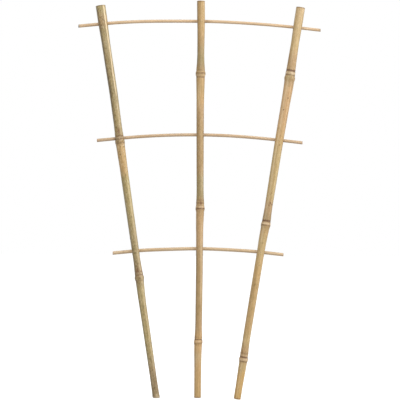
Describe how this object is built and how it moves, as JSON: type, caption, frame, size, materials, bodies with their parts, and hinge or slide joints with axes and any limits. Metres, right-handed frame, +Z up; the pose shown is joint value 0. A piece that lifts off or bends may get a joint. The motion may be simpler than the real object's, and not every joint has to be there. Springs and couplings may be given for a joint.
{
  "type": "bamboo ladder trellis",
  "caption": "Fan-shaped garden trellis of bamboo canes threaded with thin bowed rods, pushed into soil so that climbing plants can grow up it.",
  "frame": {"origin": "on the ground under the centre cane, level with the lowest edge of the right cane's foot", "axes": "+Z up along the centre cane, +X to the right seen from the front, +Y towards the back"},
  "size_m": [0.3664, 0.0164, 0.6019],
  "materials": {
    "bamboo_cane": "natural satin bamboo skin",
    "split_bamboo": "planed matt bamboo",
    "wire_pin": "dulled steel wire"
  },
  "bodies": {
    "root": {"cane_left": "bamboo_cane", "cane_centre": "bamboo_cane", "cane_right": "bamboo_cane", "rod_top": "split_bamboo", "rod_middle": "split_bamboo", "rod_bottom": "split_bamboo", "pin_top_left": "wire_pin", "pin_top_centre": "wire_pin", "pin_top_right": "wire_pin", "pin_middle_left": "wire_pin", "pin_middle_centre": "wire_pin", "pin_middle_right": "wire_pin", "pin_bottom_left": "wire_pin", "pin_bottom_centre": "wire_pin", "pin_bottom_right": "wire_pin"}
  },
  "joints": []
}
